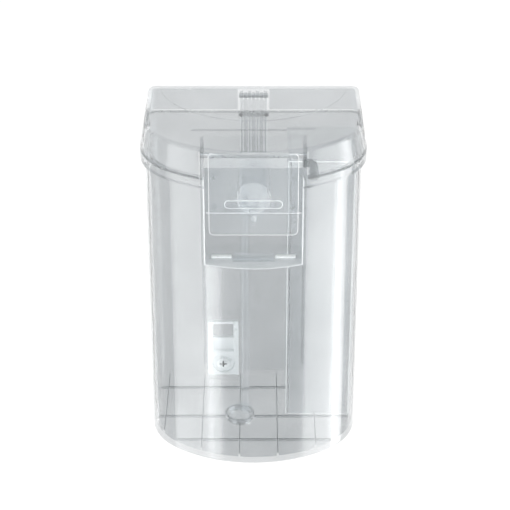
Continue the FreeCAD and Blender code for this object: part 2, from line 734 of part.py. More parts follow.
# -------------------------------------------------------------------- lid
def lid():
    low = "tank_height + lid_gap"
    shell = d_loft("lid_outer", "-rim_out", low, "lid_slope - rim_out", "lid_top")
    hollow = d_loft("lid_hollow", "lid_wall - rim_out", low,
                    "lid_slope + lid_wall - rim_out", "lid_under",
                    "back_gap + lid_wall")
    top_z = size("lid_top") - size("mount_height")
    soft = rounded("lid_rounded", shell, top_z, "lid_edge_radius")
    notch_half = "(recess_half + recess_wall + lid_notch_gap)"
    notch = box("lid_notch", f"-{notch_half}", "tank_front + rim_out + over",
                "tank_height - over", f"2 * {notch_half}", "recess_depth + 2 * recess_wall",
                "lid_under - tank_height + over")
    back = "back_gap + lid_wall + over"
    gate = box("lid_hinge_gate", "-4 * hinge_pitch", back, "tank_height",
               "8 * hinge_pitch", "lid_wall + 3 * over", "lid_under - tank_height")
    relief = box("lid_relief", "-tank_half - rim_out - over", back, "tank_height",
                 "2 * (tank_half + rim_out + over)", back + " + over", "lid_gap + lid_lift")
    dish = rod("lid_dish", "z", 0, "0", "lid_top - dish_depth", "dish_radius",
               "dish_depth + over")
    back_strip = box("dish_back", "-dish_radius", "hinge_y", "lid_top - dish_depth - over",
                     "2 * dish_radius", "hinge_y + dish_radius", "dish_depth + 3 * over")
    shallow = cut("lid_dish_cut", dish, back_strip)
    shaped = cut("lid_shell", soft, hollow, notch, gate, relief, shallow)
    pieces = [shaped]
    for column in (-2, 0, 2):
        pieces.append(knuckle(f"lid_leaf_{column}", column, "hinge_height",
                              "lid_under + join"))
    for side in (-1, 1):
        pieces.append(box(f"lid_rib_{side}", f"({side}) * lid_rib_x - lid_rib_thick / 2",
                          "back_gap + lid_wall + lid_rib_depth", low + " + lid_lift",
                          "lid_rib_thick", "lid_rib_depth + join",
                          f"lid_under - ({low} + lid_lift) + join"))
    return cut("lid_cut", fuse("lid_whole", *pieces), hinge_bore("lid_bore"))


# ------------------------------------------------------------- push plate
def push_plate():
    """The plate itself is a padded sketch; its ribs and lugs are added behind."""
    body = doc.addObject("PartDesign::Body", "plate_body")
    plane = next(f for f in body.Origin.OriginFeatures if f.Role == "XZ_Plane")
    sketch = body.newObject("Sketcher::SketchObject", "plate_outline")
    sketch.AttachmentSupport = (plane, [""])
    sketch.MapMode = "FlatFace"
    half, high = size("plate_half"), size("plate_top") - size("plate_bottom")
    corners = [V(-half, 0, 0), V(half, 0, 0), V(half, high, 0), V(-half, high, 0)]
    sketch.addGeometry([Part.LineSegment(corners[n], corners[(n + 1) % 4]) for n in range(4)],
                       False)
    rule = Sketcher.Constraint
    for edge in range(4):
        sketch.addConstraint(rule("Coincident", edge, 2, (edge + 1) % 4, 1))
    for edge, way in enumerate(("Horizontal", "Vertical", "Horizontal", "Vertical")):
        sketch.addConstraint(rule(way, edge))
    sketch.addConstraint(rule("PointOnObject", 0, 1, -1))
    for constraint, text in (
            (rule("DistanceX", 0, 1, -1, 1, half), "plate_half"),
            (rule("DistanceX", -1, 1, 0, 2, half), "plate_half"),
            (rule("DistanceY", 1, 1, 1, 2, high), "plate_top - plate_bottom")):
        index = sketch.addConstraint(constraint)
        bind(sketch, f"Constraints[{index}]", text)
    pad = body.newObject("PartDesign::Pad", "plate_pad")
    pad.Profile = sketch
    bind(pad, "Length", "plate_thick")
    doc.recompute()
    uprights = [f"Edge{n + 1}" for n, edge in enumerate(pad.Shape.Edges)
                if edge.BoundBox.YLength > 0.9 * size("plate_thick")]
    corner = body.newObject("PartDesign::Fillet", "plate_corner_round")
    corner.Base = (pad, uprights)
    bind(corner, "Radius", "plate_corner")
    doc.recompute()
    front = min(edge.BoundBox.YMin for edge in corner.Shape.Edges)
    rim = [f"Edge{n + 1}" for n, edge in enumerate(corner.Shape.Edges)
           if edge.BoundBox.YMax < front + LEVEL]
    soft = body.newObject("PartDesign::Fillet", "plate_face_round")
    soft.Base = (corner, rim)
    bind(soft, "Radius", "plate_face_round")
    place(body, 0, "plate_back", "plate_bottom")

    pieces = [body]
    for column in (-1, 0, 1):
        pieces.append(box(f"plate_rib_{column}",
                          f"{column} * plate_rib_pitch - plate_rib_thick / 2",
                          "plate_back", "plate_bottom + plate_rib_low", "plate_rib_thick",
                          "plate_rib_depth", "pivot_height - lug_radius - plate_bottom"
                          " - plate_rib_low - plate_rib_short"))
    for side, x in ((-1, "-plate_half"), (1, "plate_half - lug_thick")):
        pieces.append(box(f"plate_lug_{side}", x, "plate_back", "pivot_height - lug_radius",
                          "lug_thick", "plate_back - pivot_depth", "2 * lug_radius"))
        pieces.append(rod(f"plate_eye_{side}", "x", x, "pivot_depth", "pivot_height",
                          "lug_radius", "lug_thick"))
    hole = rod("plate_eye_bore", "x", "-plate_half - over", "pivot_depth", "pivot_height",
               "plate_pin_radius + run_gap", "2 * (plate_half + over)")
    return cut("push_plate_cut", fuse("push_plate_solid", *pieces), hole)


# ------------------------------------------------------------------- pump
def pump_body():
    barrel = rod("barrel", "y", 0, "recess_back", "pump_height", "barrel_radius",
                 "barrel_length")
    flange = rod("barrel_flange", "y", 0, "recess_back - recess_wall", "pump_height",
                 "flange_radius", "flange_thick")
    inlet = rod("inlet_boss", "z", "tube_x", "tube_y", "inlet_bottom", "inlet_radius",
                "pump_height - inlet_bottom")
    outlet = box("outlet_boss", "-nozzle_half", "recess_back - recess_wall",
                 "nozzle_height - outlet_below", "2 * nozzle_half", "outlet_length",
                 "pump_height - nozzle_height")
    cuts = [
        rod("barrel_bore", "y", 0, "recess_back + over", "pump_height", "bore_radius",
            "barrel_length + over - end_wall"),
        rod("inlet_bore", "z", "tube_x", "tube_y", "inlet_bottom - over",
            "tube_radius + run_gap", "tube_seat + over + ball_cage"),
        rod("inlet_port_bore", "z", "tube_x", "tube_y", "inlet_bottom", "inlet_port",
            "pump_height - inlet_bottom"),
        rod("outlet_port", "z", 0, "outlet_port_y", "nozzle_height",
            "valve_seat + port_over", "pump_height - nozzle_height"),
        rod("outlet_channel", "y", 0, "recess_back", "nozzle_height", "channel_radius",
            "valve_seat_depth"),
        rod("outlet_seat", "y", 0, "seat_y + over", "nozzle_height", "valve_seat",
            "seat_y - outlet_port_y + 2 * over"),
    ]
    return cut("pump_body_cut", fuse("pump_body_solid", barrel, flange, inlet, outlet), *cuts)


def pump_carrier():
    open_face, through = "carrier_front + over", "carrier_thick + 2 * over"
    plate = box("carrier_plate", "-carrier_half", "carrier_front", "carrier_bottom",
                "2 * carrier_half", "carrier_thick", "carrier_top - carrier_bottom")
    slot = pill("carrier_slot", "bar_half + carrier_slot_gap",
                "bar_height + 2 * carrier_slot_gap", open_face, through, "pump_height")
    holes = [rod(f"carrier_clear_{n}", "y", x, open_face, z, "carrier_screw + run_gap",
                 through)
             for n, (x, z) in enumerate(CARRIER_SCREWS, start=1)]
    return cut("pump_carrier_cut", plate, slot, *holes)


def plunger():
    piston = "bar_back - piston_front"
    groove, start = "piston_radius - seal_section", f"{piston} + seal_start"
    stem = turned("plunger_stem", [
        ("0 - stem_sink", "0"), ("0 - stem_sink", "stem_radius"), (piston, "stem_radius"),
        (piston, "piston_radius"), (start, "piston_radius"), (start, groove),
        (f"{start} + seal_width", groove), (f"{start} + seal_width", "piston_radius"),
        (f"{piston} + piston_thick", "piston_radius"), (f"{piston} + piston_thick", "0"),
    ], "bar_back", "pump_height")
    bar = pill("crosshead", "bar_half", "bar_height", "bar_front", "bar_thick",
               "pump_height")
    return fuse("plunger_solid", stem, bar)


def piston_seal():
    """A ring that fills the piston's groove and just clears the bore."""
    front, wide = "piston_front - seal_start - seal_gap", "seal_width - 2 * seal_gap"
    ring = rod("seal_ring", "y", 0, front, "pump_height", "bore_radius - run_gap", wide)
    hole = rod("seal_hole", "y", 0, front + " + over", "pump_height",
               "piston_radius - seal_section + ball_rest", wide + " + 2 * over")
    return cut("piston_seal_cut", ring, hole)


def pump_spring():
    """A coil of round wire between the piston and the end of the barrel."""
    wire, rest = size("spring_wire"), size("spring_rest")
    start = size("piston_front") - size("piston_thick") - wire - rest
    length = start - size("barrel_back") - size("end_wall") - wire - rest
    radius = size("spring_radius")
    coil = Part.makeHelix(length / size("spring_turns"), length, radius)
    ring = Part.Wire(Part.Edge(Part.Circle(V(radius, 0, 0), V(0, 1, 0), wire)))
    sweep = Part.Wire(coil.Edges).makePipeShell([ring], True, True)
    spring = doc.addObject("Part::Feature", "pump_spring_coil")
    spring.Shape = sweep
    spring.Placement = FreeCAD.Placement(
        V(0, -start, size("pump_height") - size("mount_height")),
        FreeCAD.Rotation(V(1, 0, 0), -90))
    return spring


def pump_cap():
    disc = rod("cap_disc", "y", 0, "recess_back", "pump_height", "bore_radius - run_gap",
               "cap_thick")
    hole = rod("cap_hole", "y", 0, "recess_back + over", "pump_height",
               "stem_radius + run_gap", "cap_thick + 2 * over")
    return cut("pump_cap_cut", disc, hole)


def nozzle():
    front = "recess_back + nozzle_thick"
    head = box("nozzle_head", "-nozzle_half", front, "nozzle_bottom", "2 * nozzle_half",
               "nozzle_thick", "carrier_bottom - over - nozzle_bottom")
    spigot = rod("nozzle_spigot", "y", 0, "recess_back", "nozzle_height",
                 "channel_radius - run_gap", "spigot_length")
    middle = "recess_back + nozzle_thick / 2"
    way = rod("nozzle_way", "y", 0, middle, "nozzle_height", "nozzle_bore",
              "spigot_length + nozzle_thick")
    drop = rod("nozzle_outlet", "z", 0, middle, "nozzle_bottom - over", "nozzle_mouth",
               "nozzle_height - nozzle_bottom + over")
    return cut("nozzle_cut", fuse("nozzle_solid", head, spigot), way, drop)


def dip_tube():
    foot = "tank_floor + tube_foot"
    outer = rod("tube_outer", "z", "tube_x", "tube_y", foot, "tube_radius",
                f"tube_top - ({foot})")
    inner = rod("tube_inner", "z", "tube_x", "tube_y", foot + " - over", "tube_bore",
                f"tube_top - ({foot}) + 2 * over")
    return cut("dip_tube_cut", outer, inner)


def strainer():
    """A slotted cup that stands in the sump and takes the foot of the tube."""
    roof = "strainer_height - strainer_roof"
    cup = rod("strainer_cup", "z", "sump_x", "sump_y", "tank_floor", "strainer_radius",
              "strainer_height")
    hollow = rod("strainer_hollow", "z", "sump_x", "sump_y", "tank_floor - over",
                 "strainer_radius - strainer_wall", roof + " + over")
    collar = rod("strainer_collar", "z", "tube_x", "tube_y", "tank_floor + " + roof,
                 "tube_radius + collar_wall", "collar_height")
    bore = rod("strainer_bore", "z", "tube_x", "tube_y", "tank_floor + tube_foot",
               "tube_radius + run_gap", "strainer_height")
    slots = [box(f"strainer_slot_{n}", f"sump_x + {n} * slot_pitch - slot_width / 2",
                 "sump_y + sump_radius", "tank_floor - over", "slot_width",
                 "2 * sump_radius", "slot_height + over") for n in (-2, -1, 0, 1, 2)]
    return cut("strainer_cut", fuse("strainer_solid", cup, collar), hollow, bore, *slots)


def vent_elbow():
    """A bent tube from the side of the recess, turned down inside the lid."""
    start, corner, low = "recess_half + join", "vent_corner", "vent_height - vent_drop"
    outside = "vent_radius - run_gap"
    across = rod("vent_across", "x", start, "vent_y", "vent_height", outside,
                 f"{corner} - ({start})")
    joint = ball("vent_bend", corner, "vent_y", "vent_height", outside)
    down = rod("vent_down", "z", corner, "vent_y", low, outside, "vent_drop")
    lip = rod("vent_mouth", "z", corner, "vent_y", low, "vent_radius + vent_lip",
              "vent_lip_height")
    ways = [rod("vent_way_across", "x", start + " - over", "vent_y", "vent_height",
                "vent_bore", f"{corner} - ({start}) + over"),
            rod("vent_way_down", "z", corner, "vent_y", low + " - over", "vent_bore",
                "vent_drop + over")]
    return cut("vent_elbow_cut", fuse("vent_solid", across, joint, down, lip), *ways)


def drip_tray():
    z = "recess_floor"
    outside = box("tray_outside", "-tray_half", "recess_back + tray_gap + tray_depth", z,
                  "2 * tray_half", "tray_depth", "tray_height")
    inside = box("tray_inside", "tray_wall - tray_half",
                 "recess_back + tray_gap + tray_depth - tray_wall", z + " + tray_wall",
                 "2 * (tray_half - tray_wall)", "tray_depth - 2 * tray_wall", "tray_height")
    return cut("drip_tray_cut", outside, inside)


def ledge_pad(side):
    """A pad on the ledge beside the drip tray; side is -1 or 1."""
    wide = "recess_half - pad_side - tray_half - pad_gap"
    x = "tray_half + pad_gap" if side > 0 else "pad_side - recess_half"
    return box(f"pad_block_{side}", x, "recess_back + tray_gap + pad_depth",
               "recess_floor", wide, "pad_depth", "pad_height")


CARRIER_SCREWS = [(f"{side} * (recess_half - carrier_screw_side)", z)
                  for z in ("carrier_bottom + carrier_screw_low",
                            "carrier_top - carrier_screw_high")
                  for side in (-1, 1)]

node("wall_plate", wall_plate())
node("tank", tank())
node("side_chamber", side_chamber())
node("chamber_cap", chamber_space("chamber_lid", "cap_inset", "chamber_top", "chamber_cap"))
node("fixing_frame", fixing_frame())
node("fixing_washer", fixing_washer())
node("fixing_screw", pan_screw("fixing", "frame_x", "inside + washer_thick",
                               "fixing_height", "screw_radius", "screw_head",
                               "screw_head_thick", "washer_thick + tank_wall + fixing_tail"))
node("gasket", gasket())
node("hinge_bracket", hinge_bracket())
node("hinge_pin", rod("hinge_pin_rod", "x", "-bracket_half - hinge_pin_out", "hinge_y",
                      "hinge_height", "hinge_pin_radius",
                      "2 * (bracket_half + hinge_pin_out)"))
node("hinge_clamp", hinge_clamp())
for side, x in (("left", "rivet_in - clamp_half"), ("right", "clamp_half - rivet_in")):
    node(f"hinge_rivet_{side}", rod(f"rivet_{side}", "y", x,
                                    "clamp_back + hinge_base + rivet_high",
                                    "clamp_z + clamp_height / 2", "rivet_radius",
                                    "rivet_high"))
node("pump_body", pump_body())
node("pump_cap", pump_cap())
node("pump_carrier", pump_carrier())
for number, (x, z) in enumerate(CARRIER_SCREWS, start=1):
    length = "carrier_thick + recess_wall - carrier_screw_tail"
    node(f"carrier_screw_{number}", pan_screw(f"carrier_{number}", x, "carrier_front", z,
                                              "carrier_screw", "carrier_screw_head",
                                              "carrier_screw", length))
node("dip_tube", dip_tube())
node("strainer", strainer())
node("inlet_ball", ball("inlet_sphere", "tube_x", "tube_y",
                        "tube_top + sqrt(ball_radius ^ 2 - tube_bore ^ 2)", "ball_radius"))
outlet_rise = "sqrt(outlet_ball_radius ^ 2 - valve_seat ^ 2) + ball_rest"
node("outlet_ball", ball("outlet_sphere", 0, "seat_y + " + outlet_rise, "nozzle_height",
                         "outlet_ball_radius"))
node("nozzle", nozzle())
node("vent_elbow", vent_elbow())
node("plate_pin", rod("plate_pin_rod", "x", "-recess_half - recess_wall", "pivot_depth",
                      "pivot_height", "plate_pin_radius",
                      "2 * (recess_half + recess_wall)"))
node("lid", lid())
node("push_plate", push_plate())
node("plunger", plunger())
node("piston_seal", piston_seal())
node("pump_spring", pump_spring())
node("drip_tray", drip_tray())
node("ledge_pad_left", ledge_pad(-1))
node("ledge_pad_right", ledge_pad(1))

doc.recompute()
for thing in doc.Objects:
    if "Invalid" in thing.State or "Error" in thing.State:
        raise SystemExit(f"{thing.Label} failed: {thing.State}")
os.makedirs("parts", exist_ok=True)
for thing in NODES:
    if thing.Shape.isNull() or not thing.Shape.isValid():
        raise SystemExit(f"{thing.Label} has no valid shape")
    thing.Shape.exportStep(os.path.join("parts", thing.Label + ".step"))
    box_size = thing.Shape.BoundBox
    print(f"{thing.Label:16} solids {len(thing.Shape.Solids)} volume {thing.Shape.Volume:10.1f}"
          f" z {box_size.ZMin:7.1f} {box_size.ZMax:7.1f}")
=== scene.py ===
# %% [markdown]
# # A see-through wall mounted soap dispenser
# This notebook dresses a finished engineering model for a product picture. The
# model comes in as a fixed frame: every node is already at its real size and
# place, in metres, with the wall at Y = 0 and the front towards -Y. The lesson
# is mostly about clear plastic, because that is what this object is made of.

# %% Load the frame
import json
import math
import bpy
import bmesh
from mathutils import Matrix, Vector


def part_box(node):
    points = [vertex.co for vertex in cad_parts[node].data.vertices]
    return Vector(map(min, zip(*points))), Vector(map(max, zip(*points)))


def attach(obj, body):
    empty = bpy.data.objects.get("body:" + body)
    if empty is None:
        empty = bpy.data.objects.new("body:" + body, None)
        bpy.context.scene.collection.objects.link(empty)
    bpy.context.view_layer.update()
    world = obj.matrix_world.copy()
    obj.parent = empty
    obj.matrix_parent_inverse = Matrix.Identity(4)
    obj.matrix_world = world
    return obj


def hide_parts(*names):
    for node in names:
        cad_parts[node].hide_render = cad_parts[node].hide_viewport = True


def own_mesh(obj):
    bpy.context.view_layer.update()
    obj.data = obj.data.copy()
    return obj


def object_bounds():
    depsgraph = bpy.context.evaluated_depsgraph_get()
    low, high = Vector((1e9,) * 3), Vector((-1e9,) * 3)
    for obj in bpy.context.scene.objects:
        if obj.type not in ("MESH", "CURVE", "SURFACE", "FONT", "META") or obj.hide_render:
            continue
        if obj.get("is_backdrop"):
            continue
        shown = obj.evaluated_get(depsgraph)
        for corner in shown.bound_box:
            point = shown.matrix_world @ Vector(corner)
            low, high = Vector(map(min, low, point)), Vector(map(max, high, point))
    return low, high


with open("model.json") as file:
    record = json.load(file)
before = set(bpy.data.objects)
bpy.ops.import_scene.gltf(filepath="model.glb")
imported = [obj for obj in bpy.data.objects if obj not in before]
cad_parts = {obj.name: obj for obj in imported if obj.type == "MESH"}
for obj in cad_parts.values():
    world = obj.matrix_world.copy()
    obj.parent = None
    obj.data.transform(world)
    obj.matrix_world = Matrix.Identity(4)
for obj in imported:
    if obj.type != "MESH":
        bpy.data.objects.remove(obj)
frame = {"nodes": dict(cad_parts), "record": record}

cad_low, cad_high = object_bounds()
print("box in mm", [round(1000 * v, 1) for v in (*cad_low, *cad_high)])

# %% [markdown]
# ## The camera
# A long lens well back from the object keeps its upright edges nearly parallel,
# which is how a catalogue shows a bathroom fitting. The camera sits in front and
# above, so it looks down through the lid into the tank. It aims a little above
# the middle of the object's own box, so that it would follow a change of size.

# %% Camera
elevation = math.radians(28.5)
distance = 0.95
middle = [(a + b) / 2 for a, b in zip(cad_low, cad_high)]
aim = Vector((0.0008, middle[1] + 0.0015, middle[2] + 0.0115))
back = Vector((0.0, -math.cos(elevation), math.sin(elevation)))
camera_data = bpy.data.cameras.new("camera")
camera_data.sensor_width = 36.0
camera_data.lens = 120.6
camera_data.clip_end = 20.0
camera = bpy.data.objects.new("camera", camera_data)
bpy.context.scene.collection.objects.link(camera)
camera.location = aim + distance * back
camera.rotation_euler = (math.pi / 2 - elevation, 0.0, 0.0)
bpy.context.scene.camera = camera
print("camera", [round(v, 3) for v in camera.location])

# %% [markdown]
# ## Small tools for node materials
# A material in Blender is a graph. Each finish below starts from one Principled
# shader whose constant values are set on its own sockets, and gets its variation
# from a few noise nodes in object space, so the pattern is fixed to the plastic.

# %% Node helpers
def new_material(name):
    material = bpy.data.materials.new(name)
    material.use_nodes = True
    graph = material.node_tree
    shader = graph.nodes["Principled BSDF"]
    return material, graph, shader


def object_noise(graph, scale, detail=4.0, stretch=(1.0, 1.0, 1.0)):
    """Noise that stays fixed to the piece; scale is in features per metre."""
    place = graph.nodes.new("ShaderNodeTexCoord")
    mapping = graph.nodes.new("ShaderNodeMapping")
    mapping.inputs["Scale"].default_value = stretch
    noise = graph.nodes.new("ShaderNodeTexNoise")
    noise.inputs["Scale"].default_value = scale
    noise.inputs["Detail"].default_value = detail
    graph.links.new(place.outputs["Object"], mapping.inputs["Vector"])
    graph.links.new(mapping.outputs["Vector"], noise.inputs["Vector"])
    return noise


def blend_colours(graph, noise, dark, light, low=0.35, high=0.65):
    ramp = graph.nodes.new("ShaderNodeValToRGB")
    ramp.color_ramp.elements[0].position = low
    ramp.color_ramp.elements[1].position = high
    ramp.color_ramp.elements[0].color = (*dark, 1.0)
    ramp.color_ramp.elements[1].color = (*light, 1.0)
    graph.links.new(noise.outputs["Fac"], ramp.inputs["Fac"])
    return ramp.outputs["Color"]


def spread(graph, noise, low, high):
    span = graph.nodes.new("ShaderNodeMapRange")
    span.inputs["From Min"].default_value = 0.3
    span.inputs["From Max"].default_value = 0.7
    span.inputs["To Min"].default_value = low
    span.inputs["To Max"].default_value = high
    graph.links.new(noise.outputs["Fac"], span.inputs["Value"])
    return span.outputs["Result"]


def bump(graph, noise, strength, depth):
    lift = graph.nodes.new("ShaderNodeBump")
    lift.inputs["Strength"].default_value = strength
    lift.inputs["Distance"].default_value = depth
    graph.links.new(noise.outputs["Fac"], lift.inputs["Height"])
    return lift.outputs["Normal"]


# %% [markdown]
# ## Clear and frosted plastic
# The tank is moulded from clear plastic about 2.5 mm thick. A wall this thin
# hardly shifts what is behind it, but each skin takes away a little light and
# mirrors the studio at a glancing angle. So the body of the plastic is a
# transmission shader with a low IOR and a grey blue tint, and the gloss is a
# separate coat with the real IOR of the plastic. Lamps would draw hard shadows
# through it, so a Mix Shader lets shadow rays pass through a pale tint instead.

# %% Clear plastic
def clear_plastic(name, dark, light, rough, ior, clearness, shadow_tint, ripple=0.06,
                  coat=1.0, coat_ior=1.5):
    material, graph, shader = new_material(name)
    cloud = object_noise(graph, 24.0, 3.0)
    skin = object_noise(graph, 120.0, 2.0)
    graph.links.new(blend_colours(graph, cloud, dark, light), shader.inputs["Base Color"])
    graph.links.new(spread(graph, skin, *rough), shader.inputs["Roughness"])
    ripples = bump(graph, skin, ripple, 0.0003)
    graph.links.new(ripples, shader.inputs["Normal"])
    graph.links.new(ripples, shader.inputs["Coat Normal"])
    shader.inputs["IOR"].default_value = ior
    shader.inputs["Transmission Weight"].default_value = clearness
    shader.inputs["Coat Weight"].default_value = coat
    shader.inputs["Coat IOR"].default_value = coat_ior
    shader.inputs["Coat Roughness"].default_value = 0.17
    rays = graph.nodes.new("ShaderNodeLightPath")
    passing = graph.nodes.new("ShaderNodeBsdfTransparent")
    passing.inputs["Color"].default_value = (*shadow_tint, 1.0)
    choose = graph.nodes.new("ShaderNodeMixShader")
    graph.links.new(rays.outputs["Is Shadow Ray"], choose.inputs["Fac"])
    graph.links.new(shader.outputs["BSDF"], choose.inputs[1])
    graph.links.new(passing.outputs["BSDF"], choose.inputs[2])
    graph.links.new(choose.outputs["Shader"], graph.nodes["Material Output"].inputs["Surface"])
    return material


tank_plastic = clear_plastic("tank_plastic", (0.625, 0.641, 0.650), (0.685, 0.700, 0.709),
                             (0.01, 0.04), 1.04, 1.0, (0.90, 0.92, 0.92))
lid_plastic = clear_plastic("lid_plastic", (0.692, 0.708, 0.718), (0.742, 0.758, 0.768),
                            (0.01, 0.05), 1.05, 1.0, (0.90, 0.92, 0.92))
clearest_plastic = clear_plastic("clearest_plastic", (0.955, 0.965, 0.97), (0.975, 0.98, 0.985),
                                 (0.02, 0.05), 1.02, 1.0, (0.97, 0.98, 0.98), coat=0.25)
frosted_plastic = clear_plastic("frosted_plastic", (0.86, 0.88, 0.89), (0.91, 0.92, 0.93),
                                (0.10, 0.20), 1.05, 0.92, (0.85, 0.87, 0.88))
milky_plastic = clear_plastic("milky_plastic", (0.90, 0.91, 0.915), (0.95, 0.955, 0.96),
                              (0.25, 0.35), 1.20, 0.20, (0.7, 0.72, 0.73))
# Whiter, nearly opaque finish for eased outline edges: a painted highlight.
outline_highlight_plastic = clear_plastic("outline_highlight_plastic", (0.95, 0.955, 0.96), (0.98, 0.98, 0.98),
                             (0.20, 0.30), 1.10, 0.12, (0.85, 0.87, 0.88))
# Smoke tinted plastic; it also darkens the carrier screws' cross recesses as painted shade.
smoke_plastic_and_shade = clear_plastic("smoke_plastic_and_shade", (0.50, 0.515, 0.52), (0.58, 0.595, 0.60),
                              (0.20, 0.30), 1.05, 0.90, (0.6, 0.62, 0.63), coat=0.4)
hinge_plastic = clear_plastic("hinge_plastic", (0.70, 0.715, 0.725), (0.76, 0.775, 0.785),
                              (0.05, 0.10), 1.03, 1.0, (0.90, 0.92, 0.92), coat=0.2)
chamber_plastic = clear_plastic("chamber_plastic", (0.88, 0.90, 0.91), (0.93, 0.94, 0.95),
                                (0.02, 0.05), 1.03, 1.0, (0.95, 0.96, 0.96))
plate_plastic = clear_plastic("plate_plastic", (0.80, 0.82, 0.835), (0.86, 0.88, 0.89),
                              (0.03, 0.07), 1.08, 0.95, (0.80, 0.83, 0.84))
# Whiter finish for bright borders and edge lines: a painted highlight.
border_highlight_plastic = clear_plastic("border_highlight_plastic", (0.93, 0.935, 0.94), (0.97, 0.97, 0.975),
                               (0.15, 0.25), 1.06, 0.55, (0.85, 0.87, 0.88), coat=0.5)
# Paler sheet for the recess floor: painted light where it faces the light from above.
ledge_light_plastic = clear_plastic("ledge_light_plastic", (0.93, 0.94, 0.945), (0.96, 0.965, 0.97),
                             (0.15, 0.25), 1.03, 0.72, (0.9, 0.92, 0.92), coat=0.3)
spring_plastic = clear_plastic("spring_plastic", (0.88, 0.89, 0.90), (0.92, 0.93, 0.94),
                               (0.05, 0.10), 1.03, 1.0, (0.92, 0.93, 0.94), coat=0.2)
# Dark finish for the rib crest strips: painted shade.
crest_shade_plastic = clear_plastic("crest_shade_plastic", (0.34, 0.36, 0.375), (0.42, 0.44, 0.455),
                              (0.3, 0.4), 1.02, 0.85, (0.8, 0.82, 0.83), coat=0.2)
print("clear finishes", tank_plastic.name, lid_plastic.name, frosted_plastic.name)

# %% [markdown]
# ## Metal and dark plastic
# The few opaque parts are small: the pins, the valve balls and the hinge rivets.
# They still need their own finish, because they show through the clear walls as
# the darkest marks on the object. The dark plastic also lines the cross recess of
# the fixing screw, as painted shade.

# %% Opaque finishes
def solid_finish(name, dark, light, rough, metallic, scale, grain, stretch=(1.0, 1.0, 1.0)):
    material, graph, shader = new_material(name)
    noise = object_noise(graph, scale, 5.0, stretch)
    graph.links.new(blend_colours(graph, noise, dark, light), shader.inputs["Base Color"])
    graph.links.new(spread(graph, noise, *rough), shader.inputs["Roughness"])
    graph.links.new(bump(graph, noise, 0.25, grain), shader.inputs["Normal"])
    shader.inputs["Metallic"].default_value = metallic
    return material


steel = solid_finish("steel", (0.42, 0.43, 0.44), (0.60, 0.61, 0.62), (0.22, 0.38), 1.0,
                     900.0, 0.00003, (1.0, 6.0, 1.0))
# Dark plastic for the rivets; it also darkens the fixing screw's cross recess as painted shade.
dark_plastic = solid_finish("dark_plastic", (0.03, 0.035, 0.04), (0.06, 0.065, 0.07),
                            (0.35, 0.5), 0.0, 800.0, 0.00005)
print("opaque finishes", steel.name, dark_plastic.name)

# %% [markdown]
# ## Dressing the nodes
# A node whose shape is already right only needs its material. One table says
# which finish each node takes, and a loop hands them out.

# %% Materials on the nodes
finishes = {
    tank_plastic: ["tank"],
    lid_plastic: ["lid"],
    steel: ["hinge_pin", "plate_pin", "inlet_ball", "outlet_ball"],
    smoke_plastic_and_shade: ["hinge_clamp"],
}
for finish, names in finishes.items():
    for name in names:
        thing = frame["nodes"][name]
        thing.data.materials.clear()
        thing.data.materials.append(finish)
print("dressed", sum(len(names) for names in finishes.values()), "nodes")

# %% [markdown]
# ## Clear parts that touch the tank
# Two see-through parts that share a face confuse a ray tracer: a ray can't tell
# which skin it meets first. A real joint has a hair of air in it. So each clear
# part that sits against another gets its own mesh, pulled in by a twentieth of a
# millimetre, with the small rounded edges that a mould leaves. On some parts the
# rounded front outline edges also take a whiter finish, a painted highlight that
# draws the part's outline inside the tank.

# %% Moulded copies with eased edges
skin_gap = 0.00005
weld_reach = 0.000001
flat_angle = math.radians(0.4)
smooth_angle = math.radians(28.0)
front_band = 0.00005


def body_of(node):
    return next(name for name, body in frame["record"]["behaviour"]["bodies"].items()
                if node in body)


def moulded(node, finish, ease, outline_ease=0.0, outline_top=1.0, sharp=40.0):
    """A copy of a node's shape with a hair of clearance and eased edges; with outline_ease its
    front outline edges take a whiter finish, a painted highlight.
    """
    work = bmesh.new()
    work.from_mesh(frame["nodes"][node].data)
    bmesh.ops.remove_doubles(work, verts=work.verts, dist=weld_reach)
    bmesh.ops.dissolve_limit(work, angle_limit=flat_angle, verts=work.verts,
                             edges=work.edges, delimit={"NORMAL"})
    front = min(vertex.co.y for vertex in work.verts)
    corners = [edge for edge in work.edges if len(edge.link_faces) == 2
               and edge.calc_face_angle(0.0) > math.radians(sharp)]
    outline = [edge for edge in corners
               if outline_ease and max(v.co.y for v in edge.verts) < front + front_band
               and max(v.co.z for v in edge.verts) < outline_top]
    # The eased outline faces take the whiter finish in slot 1: a painted highlight.
    if outline:
        eased = bmesh.ops.bevel(work, geom=outline, offset=outline_ease, segments=3,
                                profile=0.5, affect="EDGES", clamp_overlap=False)
        for face in eased["faces"]:
            face.material_index = 1
        corners = [edge for edge in work.edges if len(edge.link_faces) == 2
                   and edge.calc_face_angle(0.0) > math.radians(sharp)]
    bmesh.ops.bevel(work, geom=corners, offset=ease, segments=2, profile=0.5,
                    affect="EDGES", clamp_overlap=True)
    work.normal_update()
    for vertex in work.verts:
        vertex.co -= skin_gap * vertex.normal
    mesh = bpy.data.meshes.new(node + "_moulded")
    mesh.materials.append(finish)
    mesh.materials.append(outline_highlight_plastic if outline_ease else finish)
    work.to_mesh(mesh)
    work.free()
    for face in mesh.polygons:
        face.use_smooth = True
    mesh.set_sharp_from_angle(angle=smooth_angle)
    piece = bpy.data.objects.new(node + "_moulded", mesh)
    bpy.context.scene.collection.objects.link(piece)
    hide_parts(node)
    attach(piece, body_of(node))
    return piece


